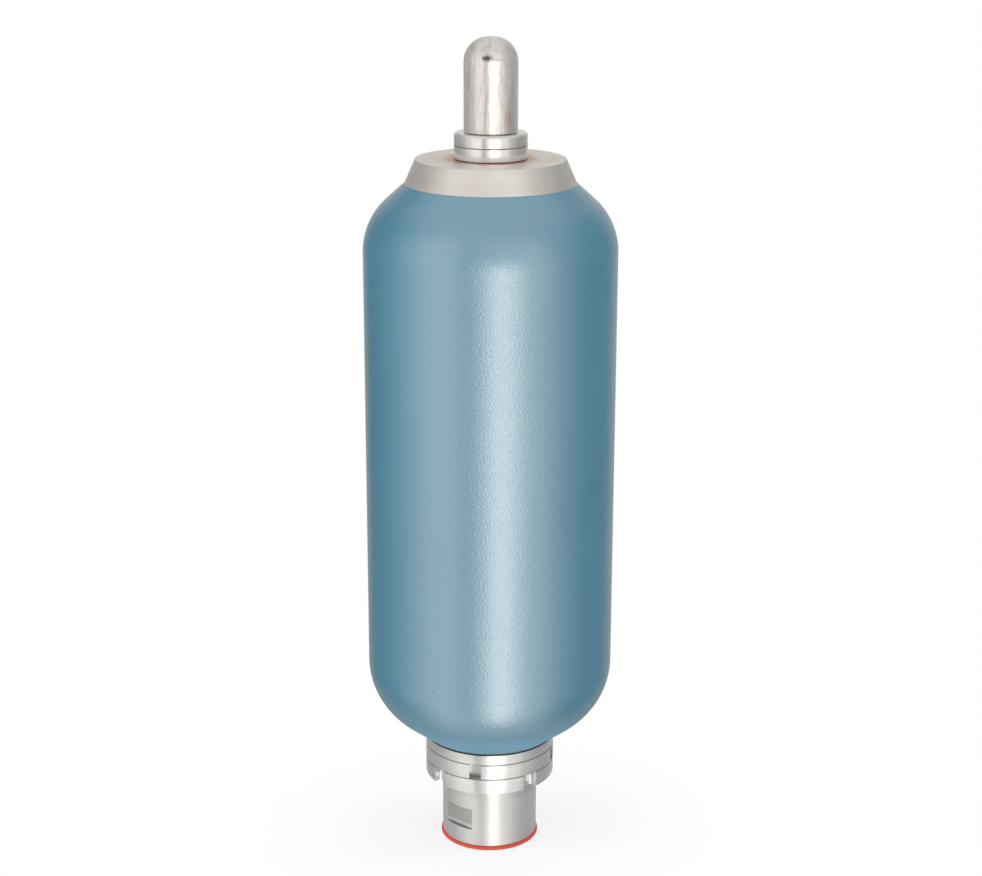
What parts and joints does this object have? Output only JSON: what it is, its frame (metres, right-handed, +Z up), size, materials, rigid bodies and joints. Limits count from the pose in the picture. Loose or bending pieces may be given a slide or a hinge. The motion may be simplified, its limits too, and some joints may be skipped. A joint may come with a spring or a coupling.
{
  "type": "bladder accumulator",
  "caption": "Upright hydraulic bladder accumulator: blue forged shell with a domed steel gas cap on top and a turned fluid port with ring nuts below.",
  "frame": {"origin": "centre of the transit plug's underside, on the turned axis", "axes": "+Z up along the turned axis from the fluid port to the gas cap; -Y is the front, with the milled spanner flats at 42 degrees to its left and behind it"},
  "size_m": [0.1683, 0.1682, 0.5596],
  "materials": {
    "shell_paint": "blue sprayed paint with a fine orange-peel texture; the coned upper neck is left as bare satin steel",
    "zinc_steel": "turned steel, bright",
    "cap_steel": "drawn and lightly brushed steel with faint brown stains",
    "port_steel": "turned steel with milled flats",
    "inner_steel": "machined steel",
    "spring_steel": "drawn spring wire",
    "bronze": "plain bearing bronze",
    "brass_core": "turned brass",
    "black_rubber": "moulded nitrile rubber",
    "white_plastic": "white fluoropolymer",
    "red_plastic": "moulded red polyethylene"
  },
  "bodies": {
    "accumulator": {"shell": "shell_paint", "bladder": "black_rubber", "gas_stem": "inner_steel", "collar_ring": "zinc_steel", "collar_nut": "zinc_steel", "gas_valve_insert": "inner_steel", "insert_seal": "black_rubber", "valve_core": "brass_core", "valve_core_spring": "spring_steel", "valve_seal_cap": "brass_core", "protective_cap": "cap_steel", "port_body": "port_steel", "guide_bushing": "bronze", "poppet_spring": "spring_steel", "split_ring_halves": "inner_steel", "split_ring_cover": "black_rubber", "seal_washer": "inner_steel", "port_seal": "black_rubber", "backup_ring": "white_plastic", "spacer_ring": "zinc_steel", "slotted_nut": "zinc_steel", "lock_nut": "zinc_steel", "transit_plug": "red_plastic"},
    "poppet_valve": {"poppet": "inner_steel", "damping_piston": "inner_steel", "stop_nut": "inner_steel"},
    "core_pin": {"valve_pin": "brass_core"}
  },
  "joints": [
    {"name": "poppet_slide", "type": "slide", "parent": "accumulator", "child": "poppet_valve", "axis": [0, 0, 1], "range_m": [-0.0119, 0], "stiffness_N_per_m": 1200, "springref_m": 0.02, "deforming": ["poppet_spring"]},
    {"name": "core_pin_slide", "type": "slide", "parent": "accumulator", "child": "core_pin", "axis": [0, 0, 1], "range_m": [-0.0015, 0], "stiffness_N_per_m": 300, "springref_m": 0.002, "deforming": ["valve_core_spring"]}
  ]
}
